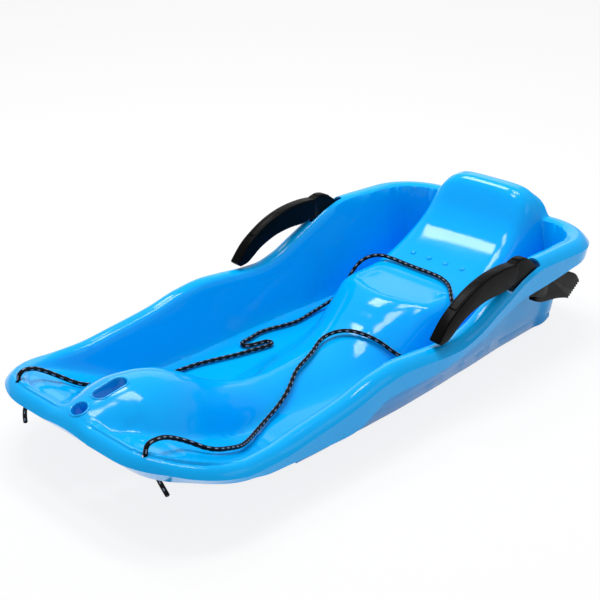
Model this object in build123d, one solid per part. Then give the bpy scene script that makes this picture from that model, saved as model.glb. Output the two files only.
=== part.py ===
from build123d import *
import math
import os

# Moulded snow sled with two hand brakes and a tow rope.
# Frame: +X is the nose, +Y the rider's left, +Z up, in millimetres.
# The origin is on the ground under the middle of the sled's box.

# ---------------------------------------------------------------- hull sizes
WALL = 2.5
NOSE_X = 453.0
TAIL_X = -453.0
HALF_WIDTH = 210.0
NOSE_CORNER_R = 120.0
TAIL_CORNER_R = 100.0
NOSE_LEAN = 24.0
SIDE_LEAN = 3.0
LEAN_START = 0.75
FLOOR_Z = 12.0
RIM_ROLL = 13.0
RIM_SET = 3.0
WALL_BLEND = 22.0
CENTRE_BLEND = 9.0
LIP_BOW = 20.0
LIP_REACH = 68.0
BACK_DISH = 9.0
FACE_WRAP = 14.0

# height of the rim's crest along the sled, from tail to nose
RIM = [(-452, 155), (-389, 158), (-312, 161.5), (-256, 163.5), (-215, 155.5), (-185, 143.5),
       (-145, 126.5), (-99, 108), (-62, 101.5), (-30, 103), (20, 109), (62, 112.5),
       (105, 109), (158, 98.5), (227, 90.5), (290, 85), (330, 86), (371, 92.5),
       (408, 101), (432, 107), (454, 108)]
# height of the skirt's lower edge along the sled
SKIRT = [(-452, 130), (-400, 128), (-352, 125), (-281, 119), (-214, 115), (-156, 99),
         (-121, 86), (-86, 79), (-64, 74), (-19, 70), (35, 71), (67, 73), (95, 71),
         (117, 63), (142, 52), (165, 50), (203, 52), (239, 54), (274, 57), (308, 60),
         (341, 67), (380, 68), (454, 70)]
# fall of the tub's wall for each millimetre inwards: position, slope
WALL_SLOPE = [(-453, 10), (-392, 10), (-372, 7), (-345, 4.8), (-281, 4.6), (-226, 4.5),
              (-170, 4.2), (-120, 3.7), (-70, 3.5), (22, 3.9), (64, 3.9), (105, 3.6),
              (453, 3.5)]
# width of the rim's top: position, width
RIM_WIDTH = [(-453, 36), (-380, 36), (-280, 32), (-180, 30), (250, 30), (330, 27), (453, 27)]
# foot well floor: flat, then the ramp to the deck behind the front bar
RAMP = [(-460, 12), (190, 12), (216, 15), (240, 23), (300, 51), (350, 75), (380, 89),
        (400, 96), (416, 99), (460, 100)]
# nose hump, middle ridge, seat and backrest:
# position, half width at the foot, crest height, squareness of the section
SPINE = [(-453, 108, 120, 8), (-446, 113, 140, 9), (-438, 117, 166, 10),
         (-426, 122, 189, 6.5), (-412, 125, 201.5, 5.5), (-397, 125, 202, 5.5),
         (-384, 124, 195, 6), (-374, 122, 180, 7), (-359, 119, 154, 9),
         (-342, 117, 135, 11), (-325, 116, 122, 12), (-300, 115, 109, 12),
         (-274, 114, 98, 12), (-245, 113, 89, 12), (-215, 112, 84, 13),
         (-172, 110, 85, 12), (-152, 109, 84, 10), (-136, 106, 78, 8),
         (-112, 101, 65, 6), (-85, 93, 53, 4), (-60, 84, 46, 3), (-35, 78, 41, 2.4),
         (-10, 74, 38.5, 2), (20, 71, 37.5, 1.8), (55, 67, 37.5, 1.6),
         (92, 61, 38, 1.5), (126, 56, 42, 1.5), (150, 54, 47, 1.6), (170, 54, 53, 1.8),
         (200, 57, 64, 2), (230, 63, 80, 2.1), (268, 72, 104, 2.2), (300, 80, 120, 2.2),
         (330, 84, 127, 2.2), (357, 82, 129, 2.2), (381, 72, 127, 2.1),
         (404, 56, 123, 2), (428, 44, 117, 2), (444, 38, 108, 2), (453, 36, 98, 2)]

# ------------------------------------------------------------ hull openings
NOSE_HOLE_X = 428.0
NOSE_HOLE_D = 22.0
GRIP_SLOT_X = 381.0
GRIP_SLOT_LENGTH = 50.0
GRIP_SLOT_WIDTH = 22.0
ROPE_HOLE_X = 431.0
ROPE_HOLE_Y = HALF_WIDTH - 83.0
ROPE_HOLE_D = 9.0
OPENING_LIP = 24.0
NUB_X = -277.0
NUB_SPACING = 33.0
NUB_R = 4.0

# --------------------------------------------------------------- runners
RUNNER_STEP = 20.0
RUNNER_WIDTH = 14.0
RUNNER_ROOT = 6.0
# height of a runner's lower edge along the sled
RUNNER = [(-382, 10), (-370, 5), (-356, 1.5), (-340, 0), (80, 0), (115, 1.8), (165, 5.3),
          (214, 9.8)]

# --------------------------------------------------------------- brakes
PIVOT_X = -209.0
PIVOT_Z = 136.0
LEVER_Y = HALF_WIDTH - 14.0
LEVER_WIDTH = 16.0
HANDLE_WIDTH = 18.5
HANDLE_SET_OUT = 1.0
CLAW_WIDTH = 12.0
CLAW_SET_IN = 3.0
PIN_R = 3.0
PIN_CLEARANCE = 0.08
PIN_SKIN = 1.4
BOSS_R = 6.5
HUB_R = 9.0
SLOT_TAIL_X = -254.0
SLOT_NOSE_X = -178.0
SLOT_WIDTH = 19.5
TEETH = 8
TOOTH_DEPTH = 4.0

# --------------------------------------------------------------- rope
ROPE_D = 6.0
KNOT_R = 8.0
KNOT_DROP = 12.1
# the rope's route from its right tail, over the sled, to its left tail
ROUTE = [(408, -158, 24), (408.5, -158, 42), (408, -146, 60), (407.5, -133, 76),
         (423, -128.5, 90), (431, -127, 107),
         (426, -128, 119), (405, -131, 115), (388, -132, 104), (373, -120, 94),
         (360, -102, 85.5), (343, -99, 77), (318, -108, 65), (285, -121, 49.5),
         (252, -130, 32.5), (220, -133, 21), (186, -134, 17), (153, -131, 16.5),
         (126, -127, 16.5), (98, -118, 16.5), (70, -108, 16.5), (45, -102, 16.5),
         (27, -97, 16.5), (3, -93, 16.5), (1, -107, 16.5), (23, -112, 16.5),
         (39, -118, 16.5), (38, -131, 16.5), (17, -132, 16.5), (-7, -137, 16.5),
         (-29, -134, 16.5), (-51, -127, 16.5), (-80, -121, 16.5), (-114, -126, 17),
         (-143, -129, 18), (-172, -124, 26), (-192, -119, 48), (-206, -115, 72),
         (-222, -107, 87), (-238, -88, 94), (-242, -56, 92), (-240.5, -24, 91),
         (-240, 8, 91), (-238, 36, 91), (-229, 58, 90), (-212, 76, 90),
         (-194, 91, 88), (-182, 106, 80), (-174, 117, 64), (-167, 124, 42),
         (-154, 128, 23), (-130, 125, 17.5), (-106, 114, 17.5), (-88, 100, 21),
         (-76, 80, 33), (-68, 58, 47), (-61, 35, 53.5), (-54, 13, 55),
         (-43, -4, 52), (-26, -12, 48), (-5, -8, 45.5), (18, 4, 44.5), (42, 13, 43.5),
         (64, 19, 41.5), (82, 27, 38.5), (101, 38, 33), (121, 47, 27.5), (145, 55, 22),
         (173, 63, 18.5), (206, 77, 20), (244, 101, 32), (276, 121, 46.5), (302, 129, 59),
         (325, 134, 69.5), (342, 131, 78), (356, 122, 88), (374, 118, 100),
         (394, 120, 112), (412, 125, 119), (427, 127, 120), (431, 127, 107),
         (425, 126.5, 89), (412, 122, 69), (405.5, 120.5, 53), (401, 127, 37)]


def smooth_table(rows, x, column=1):
    """Monotone cubic through the rows of a table, read at x."""
    if x <= rows[0][0]:
        return rows[0][column]
    if x >= rows[-1][0]:
        return rows[-1][column]
    i = max(k for k in range(len(rows) - 1) if rows[k][0] <= x)

    def slope(k):
        return (rows[k + 1][column] - rows[k][column]) / (rows[k + 1][0] - rows[k][0])

    def tangent(k):
        if k == 0:
            return slope(0)
        if k == len(rows) - 1:
            return slope(k - 1)
        before, after = slope(k - 1), slope(k)
        if before * after <= 0:
            return 0.0
        return 2 * before * after / (before + after)

    step = rows[i + 1][0] - rows[i][0]
    t = (x - rows[i][0]) / step
    a, b = rows[i][column], rows[i + 1][column]
    ta, tb = tangent(i) * step, tangent(i + 1) * step
    return (a * (1 + 2 * t) * (1 - t) ** 2 + ta * t * (1 - t) ** 2
            + b * t * t * (3 - 2 * t) + tb * t * t * (t - 1))


def smooth_max(a, b, blend):
    """The larger of two heights, with a fillet of the given reach."""
    h = max(blend - abs(a - b), 0.0) / blend
    return max(a, b) + h * h * blend / 4


def inset(x, y):
    """Distance inside the sled's outline in plan."""
    radius = NOSE_CORNER_R if x > 0 else TAIL_CORNER_R
    middle = (NOSE_X + TAIL_X) / 2
    over_x = abs(x - middle) - (NOSE_X - TAIL_X) / 2 + radius
    over_y = abs(y) - HALF_WIDTH + radius
    outside = math.hypot(max(over_x, 0), max(over_y, 0))
    return radius - outside - min(max(over_x, over_y), 0)


def spine_height(x, y):
    """Nose hump, ridge, seat and backrest above the plan point."""
    half = smooth_table(SPINE, x, 1)
    s = abs(y) / half
    if s >= 1.25:
        return -50.0
    near = max(0.0, 1 - s * s)
    if x < -215:
        wrap = FACE_WRAP * min(s, 1.0) ** 6 * min(1.0, (-215 - x) / 110)
        reach = x + BACK_DISH * near + wrap
    elif x < 0:
        bow = max(0.0, 1 - (y / LIP_REACH) ** 2) ** 1.2
        fade = min(1.0, (x + 215) / 60) * min(1.0, -x / 90)
        reach = x - LIP_BOW * bow * fade
    else:
        reach = x
    crest = smooth_table(SPINE, reach, 2)
    square = smooth_table(SPINE, x, 3)
    base = min(smooth_table(RAMP, x), crest - 5.0)
    return base + (crest - base) * (1 - s ** square)


def top_height(x, y):
    """The hull's upper surface over one plan point."""
    depth = max(inset(x, y), -4.0)
    rim = smooth_table(RIM, x)
    width = smooth_table(RIM_WIDTH, x)
    across = (depth - width * 0.55) / (width * 0.55)
    arch = rim - RIM_ROLL * across ** 2 * (1.0 if across < 0 else 0.45)
    side = rim - RIM_SET - (depth - width) * smooth_table(WALL_SLOPE, x)
    rim_side = -smooth_max(-arch, -side, 8.0)
    ramp = min(smooth_table(RAMP, x), rim - 3.0)
    tub = smooth_max(ramp, rim_side, WALL_BLEND)
    if depth < width * 0.6:
        tub = rim_side if x < 300 else max(rim_side, arch)
    return smooth_max(tub, spine_height(x, y), CENTRE_BLEND)


# ---- model starts
CORNER_STEPS = 12
BODY_STEP = 14.0
CUTS = 14
ACROSS = [(0, 90, 12), (90, 128, 3.2), (128, 152, 6), (152, 188, 3.6), (188, 210, 3.7)]


def stations(margin):
    """Outline points from tail to nose: x, half width and outward normal."""
    points = []
    turns = [math.pi / 2 * k / CORNER_STEPS for k in range(CORNER_STEPS + 1)]
    radius = TAIL_CORNER_R - margin
    for turn in turns:
        x = TAIL_X + TAIL_CORNER_R - radius * math.cos(turn)
        y = HALF_WIDTH - TAIL_CORNER_R + radius * math.sin(turn)
        points.append((x, y, -math.cos(turn), math.sin(turn)))
    start = TAIL_X + TAIL_CORNER_R
    end = NOSE_X - NOSE_CORNER_R
    count = round((end - start) / BODY_STEP)
    for k in range(1, count):
        points.append((start + (end - start) * k / count, HALF_WIDTH - margin, 0.0, 1.0))
    radius = NOSE_CORNER_R - margin
    for turn in reversed(turns):
        x = NOSE_X - NOSE_CORNER_R + radius * math.cos(turn)
        y = HALF_WIDTH - NOSE_CORNER_R + radius * math.sin(turn)
        points.append((x, y, math.cos(turn), math.sin(turn)))
    return points


def under_height(x, y):
    """The underside: the top surface worn down by a ball of the wall's size."""
    lowest = top_height(x, y) - WALL
    for reach in (0.55, 0.98):
        fall = WALL * math.sqrt(1 - reach * reach)
        for k in range(8):
            turn = math.pi * k / 4
            near_x = x + WALL * reach * math.cos(turn)
            near_y = y + WALL * reach * math.sin(turn)
            lowest = min(lowest, top_height(near_x, near_y) - fall)
    return lowest


def section_places():
    """Fractions of the half width where a section is measured."""
    places = []
    for start, end, step in ACROSS:
        count = round((end - start) / step)
        places += [start + (end - start) * k / count for k in range(count)]
    places = [place / ACROSS[-1][1] for place in places] + [1.0]
    return [-place for place in reversed(places[1:])] + places


def sections(margin, height):
    """Spline edges across the hull, one for each station of the outline."""
    places = section_places()
    edges = []
    for x, half, _, _ in stations(margin):
        side = [height(x, half * place) for place in places if place >= 0]
        heights = list(reversed(side[1:])) + side
        points = [Vector(x, half * p, z) for p, z in zip(places, heights)]
        whole = Edge.make_spline(points, parameters=[(p + 1) / 2 for p in places])
        count = len(points) - 1
        cuts = [points[round(count * k / CUTS)] for k in range(CUTS + 1)]
        edges.append([whole.trim(a, b) for a, b in zip(cuts, cuts[1:])])
    return edges


def skirt_foot(margin, side):
    """The skirt's lower edge, one point for each station."""
    points = []
    for x, half, normal_x, normal_y in stations(margin):
        turned = min(max(normal_x / LEAN_START, 0.0), 1.0)
        lean = SIDE_LEAN + (NOSE_LEAN - SIDE_LEAN) * turned ** 2 * (3 - 2 * turned)
        foot_x = x - normal_x * lean
        foot_y = half - normal_y * lean
        points.append(Vector(foot_x, side * foot_y, smooth_table(SKIRT, x)))
    return points


def skin(margin, height):
    """One skin of the moulding: its strips, its skirt and its lower edges."""
    edges = sections(margin, height)
    faces = []
    for behind, ahead in zip(edges, edges[1:]):
        faces += [Face.make_surface_from_curves(a, b) for a, b in zip(behind, ahead)]
    lower = []
    for side, end in ((-1, 0), (1, 1)):
        feet = skirt_foot(margin, side)
        tops = [pieces[-end] @ end for pieces in edges]
        for k in range(len(feet) - 1):
            top = Edge.make_line(tops[k], tops[k + 1])
            foot = Edge.make_line(feet[k], feet[k + 1])
            faces.append(Face.make_surface_from_curves(top, foot))
        lower.append(feet)
    for k in (0, -1):
        feet = [lower[0][k] + (lower[1][k] - lower[0][k]) * c / CUTS for c in range(CUTS + 1)]
        for piece, a, b in zip(edges[k], feet, feet[1:]):
            faces.append(Face.make_surface_from_curves(piece, Edge.make_line(a, b)))
    return faces, lower


def moulding():
    """The whole hull as one thin-walled solid."""
    outer, outer_feet = skin(0.0, top_height)
    inner, inner_feet = skin(WALL, under_height)
    rims = []
    for outside, inside in zip(outer_feet, inner_feet):
        for k in range(len(outside) - 1):
            a = Edge.make_line(outside[k], outside[k + 1])
            b = Edge.make_line(inside[k], inside[k + 1])
            rims.append(Face.make_surface_from_curves(a, b))
    for k in (0, -1):
        rows = []
        for feet in (outer_feet, inner_feet):
            a, b = feet[0][k], feet[1][k]
            rows.append([a + (b - a) * c / CUTS for c in range(CUTS + 1)])
        for c in range(CUTS):
            a = Edge.make_line(rows[0][c], rows[0][c + 1])
            b = Edge.make_line(rows[1][c], rows[1][c + 1])
            rims.append(Face.make_surface_from_curves(a, b))
    shell = Shell(outer + inner + rims)
    return Solid(shell)


def tilted(x, y):
    """A place on the top surface, turned to stand square to it."""
    slope = (top_height(x + 2, y) - top_height(x - 2, y)) / 4
    return Pos(x, y, top_height(x, y)) * Rot(0, -math.degrees(math.atan(slope)), 0)


def wall_depth(x, z):
    """How far inside the outline the tub wall's inner face stands at one height."""
    fall = smooth_table(RIM, x) - RIM_SET - z
    return smooth_table(RIM_WIDTH, x) + fall / smooth_table(WALL_SLOPE, x)


def wall_foot(x, z):
    """Half the width over the tub's outer faces at one height."""
    radius = TAIL_CORNER_R - wall_depth(x, z) + WALL
    past = max(TAIL_X + TAIL_CORNER_R - x, 0.0)
    return HALF_WIDTH - TAIL_CORNER_R + math.sqrt(radius ** 2 - past ** 2)


def runner(side):
    """A moulded runner, flush under the foot of the tub's wall."""
    start, end = RUNNER[0][0], RUNNER[-1][0]
    count = round((end - start) / RUNNER_STEP)
    root_z = FLOOR_Z + RUNNER_ROOT
    rings = []
    for k in range(count + 1):
        x = start + (end - start) * k / count
        low = smooth_table(RUNNER, x)
        foot = wall_foot(x, low)
        inner = foot - RUNNER_WIDTH
        places = ((foot, low), (wall_foot(x, root_z) - WALL / 2, root_z),
                  (inner, FLOOR_Z - WALL * 0.4), (inner, low))
        rings.append(Wire.make_polygon([Vector(x, side * y, z) for y, z in places]))
    return Solid.make_loft(rings, ruled=True)


def across(start, end, radius, side):
    """A round bar across the rim at the pivot."""
    bar = Cylinder(radius, end - start)
    return Pos(PIVOT_X, side * (start + end) / 2, PIVOT_Z) * Rot(90, 0, 0) * bar


def pivot_span():
    """Where the pin's two carriers start and end, measured across the sled."""
    depth = wall_depth(PIVOT_X, PIVOT_Z)
    return HALF_WIDTH - depth + WALL * 0.45, HALF_WIDTH - PIN_SKIN


def pivot_bosses(side):
    """The two bosses inside the rim that hold the brake's pin."""
    start, end = pivot_span()
    return [across(start, LEVER_Y - SLOT_WIDTH / 2, BOSS_R, side),
            across(LEVER_Y + SLOT_WIDTH / 2 - 1, end - 0.2, BOSS_R, side)]


def pin(side):
    """The brake's pivot pin, from boss to boss across the rim's hollow."""
    start, end = pivot_span()
    return across(start + WALL * 0.7, end, PIN_R, side)


def cutter(shape, x, y, reach=14.0):
    """A flat shape made a cutter through the skin at one plan point."""
    return Pos(x, y, top_height(x, y) - reach) * extrude(shape, 2 * reach)


def lipped(shape, x):
    """An opening in the nose hump: its turned-down lip and the cutter of its bore."""
    around = offset(shape, WALL)
    lip = Pos(0, 0, -OPENING_LIP) * extrude(around, OPENING_LIP - WALL * 0.9)
    bore = Pos(0, 0, -OPENING_LIP - 1) * extrude(shape, 2 * OPENING_LIP)
    return tilted(x, 0) * lip, tilted(x, 0) * bore


def rim_slot(side):
    """The cutter of the slot in the rim that a brake's arm passes through."""
    length = SLOT_NOSE_X - SLOT_TAIL_X
    middle = (SLOT_NOSE_X + SLOT_TAIL_X) / 2
    low = smooth_table(RIM, SLOT_NOSE_X) - RIM_SET - WALL
    shape = RectangleRounded(length, SLOT_WIDTH, SLOT_WIDTH * 0.2)
    return Pos(middle, side * LEVER_Y, low) * extrude(shape, 60)


def hull():
    """The moulding with its openings, runners, bosses and nubs."""
    body = moulding()
    hole_lip, hole_bore = lipped(Circle(NOSE_HOLE_D / 2), NOSE_HOLE_X)
    slot_lip, slot_bore = lipped(SlotOverall(GRIP_SLOT_LENGTH, GRIP_SLOT_WIDTH), GRIP_SLOT_X)
    extras = [hole_lip, slot_lip]
    cuts = [hole_bore, slot_bore]
    for side in (-1, 1):
        extras.append(runner(side))
        extras += pivot_bosses(side)
        cuts.append(cutter(Circle(ROPE_HOLE_D / 2), ROPE_HOLE_X, side * ROPE_HOLE_Y))
        cuts.append(rim_slot(side))
    for k in range(4):
        y = NUB_SPACING * (k - 1.5)
        extras.append(tilted(NUB_X, y) * Cylinder(NUB_R, 3.0))
    body = body.fuse(*extras)
    return body.cut(*cuts).cut(pin(-1), pin(1))


# handle's side view, top edge then underside, from the grip's tip
HANDLE_TOP = [(-14, 115), (-33, 136), (-52, 150), (-80, 164.5), (-108, 173.5),
              (-137, 178), (-168, 178.5), (-192, 176)]
HANDLE_UNDER = [(-192, 148), (-165, 142), (-135, 142.5), (-112, 141), (-91, 137),
                (-66, 128), (-48, 117), (-36, 110.5), (-22, 108.5)]
# the narrow arm through the rim, from the handle round the hub
ARM = [(-176, 168), (-196, 179), (-217, 177), (-236, 165), (-247, 152), (-262, 139),
       (-280, 131), (-280, 100), (-250, 106), (-222, 117), (-206, 125), (-196, 130),
       (-186, 148)]
# the claw behind the arm; its teeth lie between the two tips
CLAW = [(-258, 139), (-330, 120), (-356, 111), (-370, 103), (-380, 91), (-349, 70),
        (-330, 76), (-312, 80.5), (-277, 86.5), (-258, 94)]
CLAW_TIPS = ((-380, 91), (-349, 70))


def toothed(points):
    """Claw outline with saw teeth along its end, from one tip to the other."""
    start = Vector(*CLAW_TIPS[0])
    end = Vector(*CLAW_TIPS[1])
    along = (end - start) / TEETH
    out = Vector(along.Y, -along.X).normalized() * TOOTH_DEPTH
    if out.X > 0:
        out = out * -1
    teeth = []
    for k in range(TEETH):
        a = start + along * k
        teeth += [a, a + along * 0.5 + out]
    teeth.append(end)
    first = points.index(CLAW_TIPS[0])
    head = [Vector(*p) for p in points[:first]]
    tail = [Vector(*p) for p in points[first + 2:]]
    return head + teeth + tail


def side_plate(points, width, y):
    """A plate standing on its side view, centred on y."""
    wire = Wire.make_polygon([Vector(p.X, y - width / 2, p.Y) for p in points], close=True)
    return Solid.extrude(Face(wire), Vector(0, width, 0))


def lever(side):
    """One hand brake: handle, arm, hub and toothed claw in one moulding."""
    y = side * LEVER_Y
    low = y + side * HANDLE_SET_OUT - HANDLE_WIDTH / 2
    top = [Vector(x, low, z) for x, z in HANDLE_TOP]
    under = [Vector(x, low, z) for x, z in HANDLE_UNDER]
    edges = [Edge.make_spline(top), Edge.make_line(top[-1], under[0]),
             Edge.make_spline(under), Edge.make_line(under[-1], top[0])]
    handle = Solid.extrude(Face(Wire(edges)), Vector(0, HANDLE_WIDTH, 0))
    arm = side_plate([Vector(*p) for p in ARM], LEVER_WIDTH, y)
    claw = side_plate(toothed(CLAW), CLAW_WIDTH, y - side * CLAW_SET_IN)
    hub = Pos(PIVOT_X, y, PIVOT_Z) * Rot(90, 0, 0) * Cylinder(HUB_R, LEVER_WIDTH)
    bore = Pos(PIVOT_X, y, PIVOT_Z) * Rot(90, 0, 0)
    bore = bore * Cylinder(PIN_R + PIN_CLEARANCE, LEVER_WIDTH + 4)
    return handle.fuse(arm, hub, claw).cut(bore)


def rope():
    """The tow rope: straight runs joined by tangent arcs."""
    points = [Vector(*p) for p in ROUTE]
    radii = []
    for before, here, after in zip(points, points[1:], points[2:]):
        turn = (here - before).get_angle(after - here)
        shorter = min((here - before).length, (after - here).length)
        radii.append(0.45 * shorter / math.tan(math.radians(turn / 2)))
    path = FilletPolyline(*points, radius=radii)
    start = Plane(origin=points[0], z_dir=points[1] - points[0])
    tube = sweep(start * Circle(ROPE_D / 2), path=path)
    area = math.pi * ROPE_D ** 2 / 4
    print("rope length", round(path.length), "volume ratio",
          round(tube.volume / (area * path.length), 4))
    print("rope radii", [round(r, 1) for r in radii])
    return tube


def knot(side, tube):
    """The knot that keeps the rope from slipping up through its hole."""
    x, y = ROPE_HOLE_X - 1.5, side * ROPE_HOLE_Y
    return Pos(x, y, top_height(x, y) - KNOT_DROP) * Sphere(KNOT_R) - tube


def main():
    os.makedirs("parts", exist_ok=True)
    nodes = {"hull": hull(), "tow_rope": rope()}
    for name, side in (("right", -1), ("left", 1)):
        nodes["rope_knot_" + name] = knot(side, nodes["tow_rope"])
        nodes["brake_lever_" + name] = lever(side)
        nodes["brake_pin_" + name] = pin(side)
    for name, shape in nodes.items():
        box = shape.bounding_box()
        print(name, round(shape.volume), len(shape.solids()), box.min, box.max)
        export_step(shape, "parts/" + name + ".step")


main()
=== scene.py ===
import math
import bpy
import bmesh
import numpy as np
from mathutils import Matrix, Vector


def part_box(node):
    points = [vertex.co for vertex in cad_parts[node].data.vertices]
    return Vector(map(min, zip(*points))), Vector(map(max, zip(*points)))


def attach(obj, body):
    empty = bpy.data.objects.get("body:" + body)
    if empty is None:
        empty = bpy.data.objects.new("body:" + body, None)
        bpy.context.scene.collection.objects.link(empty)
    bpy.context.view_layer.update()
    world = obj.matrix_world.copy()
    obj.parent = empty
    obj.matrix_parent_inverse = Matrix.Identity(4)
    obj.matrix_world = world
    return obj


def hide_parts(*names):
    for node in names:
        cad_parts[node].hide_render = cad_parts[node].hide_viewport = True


bl_info = {
    "name": "Plastic Sled",
    "version": (1, 0, 0),
    "blender": (4, 5, 0),
    "location": "View3D > Sidebar > Sled",
    "description": "Moulded snow sled with hand brakes and a tow rope",
    "category": "Add Mesh",
}

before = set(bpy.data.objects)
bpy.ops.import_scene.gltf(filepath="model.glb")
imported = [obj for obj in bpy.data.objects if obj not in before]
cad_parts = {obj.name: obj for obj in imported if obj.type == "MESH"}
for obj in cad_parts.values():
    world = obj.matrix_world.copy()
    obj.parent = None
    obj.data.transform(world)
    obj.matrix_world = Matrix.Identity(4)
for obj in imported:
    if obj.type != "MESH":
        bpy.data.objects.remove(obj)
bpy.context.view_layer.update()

# ---- shape of the hull, in millimetres
NOSE_X, TAIL_X, HALF_WIDTH = 453.0, -453.0, 210.0
NOSE_CORNER_R, TAIL_CORNER_R = 120.0, 100.0
NOSE_LEAN, SIDE_LEAN, LEAN_START = 24.0, 3.0, 0.75
RIM_ROLL, RIM_SET = 13.0, 3.0
WALL_BLEND, CENTRE_BLEND, FLOOR_Z = 22.0, 9.0, 12.0
LIP_BOW, LIP_REACH, BACK_DISH, FACE_WRAP = 20.0, 68.0, 9.0, 14.0
RUNNER_WIDTH, RUNNER_ROOT, OPENING_LIP = 14.0, 6.0, 24.0
EYE_X, OPENING_WIDTH, SLOT_X, SLOT_LENGTH = 428.0, 22.0, 381.0, 50.0
ROPE_HOLE_X, ROPE_HOLE_Y, ROPE_HOLE_D = 431.0, 127.0, 9.0
BRAKE_SLOT_TAIL_X, BRAKE_SLOT_NOSE_X, BRAKE_SLOT_WIDTH = -254.0, -178.0, 19.5
NUB_X, NUB_PITCH = -277.0, 33.0

# the brakes, in millimetres
PIVOT, LEVER_Y = (-209.0, 136.0), HALF_WIDTH - 14.0
LEVER_WIDTH, HANDLE_SET_OUT, CLAW_SET_IN, TOOTH_DEPTH = 16.0, 1.0, 3.0, 4.0
HUB_R, PIN_BORE_R = 9.0, 3.08

# the camera: degrees, lens in millimetres, place in metres
AZIMUTH, ELEVATION, LENS = 133.86, 24.76, 71.3
CAMERA_PLACE = (1.146, 1.061, 0.839)

# crest of the rim and foot of the skirt: position, height
RIM = [(-452, 155), (-389, 158), (-312, 161.5), (-256, 163.5), (-215, 155.5), (-185, 143.5),
       (-145, 126.5), (-99, 108), (-62, 101.5), (-30, 103), (20, 109), (62, 112.5),
       (105, 109), (158, 98.5), (227, 90.5), (290, 85), (330, 86), (371, 92.5),
       (408, 101), (432, 107), (454, 108)]
SKIRT = [(-452, 130), (-400, 128), (-352, 125), (-281, 119), (-214, 115), (-156, 99),
         (-121, 86), (-86, 79), (-64, 74), (-19, 70), (35, 71), (67, 73), (95, 71),
         (117, 63), (142, 52), (165, 50), (203, 52), (239, 54), (274, 57), (308, 60),
         (341, 67), (380, 68), (454, 70)]
# fall of the tub's wall for each millimetre inwards: position, slope
WALL_SLOPE = [(-453, 10), (-392, 10), (-372, 7), (-345, 4.8), (-281, 4.6), (-226, 4.5),
              (-170, 4.2), (-120, 3.7), (-70, 3.5), (22, 3.9), (64, 3.9), (105, 3.6),
              (453, 3.5)]
# width of the rim's top: position, width
RIM_WIDTH = [(-453, 36), (-380, 36), (-280, 32), (-180, 30), (250, 30), (330, 27), (453, 27)]
# foot well floor and the ramp up to the deck
RAMP = [(-460, 12), (190, 12), (216, 15), (240, 23), (300, 51), (350, 75), (380, 89),
        (400, 96), (416, 99), (460, 100)]
# nose hump, ridge, seat and backrest: position, half width, crest height, squareness
SPINE = [
    (-453, 108, 120, 8), (-446, 113, 140, 9), (-438, 117, 166, 10), (-426, 122, 189, 6.5),
    (-412, 125, 201.5, 5.5), (-397, 125, 202, 5.5), (-384, 124, 195, 6), (-374, 122, 180, 7),
    (-359, 119, 154, 9), (-342, 117, 135, 11), (-325, 116, 122, 12), (-300, 115, 109, 12),
    (-274, 114, 98, 12), (-245, 113, 89, 12), (-215, 112, 84, 13), (-172, 110, 85, 12),
    (-152, 109, 84, 10), (-136, 106, 78, 8), (-112, 101, 65, 6), (-85, 93, 53, 4),
    (-60, 84, 46, 3), (-35, 78, 41, 2.4), (-10, 74, 38.5, 2), (20, 71, 37.5, 1.8),
    (55, 67, 37.5, 1.6), (92, 61, 38, 1.5), (126, 56, 42, 1.5), (150, 54, 47, 1.6),
    (170, 54, 53, 1.8), (200, 57, 64, 2), (230, 63, 80, 2.1), (268, 72, 104, 2.2),
    (300, 80, 120, 2.2), (330, 84, 127, 2.2), (357, 82, 129, 2.2), (381, 72, 127, 2.1),
    (404, 56, 123, 2), (428, 44, 117, 2), (444, 38, 108, 2), (453, 36, 98, 2)]

# height of a runner's lower edge along the sled
RUNNER = [(-382, 10), (-370, 5), (-356, 1.5), (-340, 0), (80, 0), (115, 1.8), (165, 5.3),
          (214, 9.8)]

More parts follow.
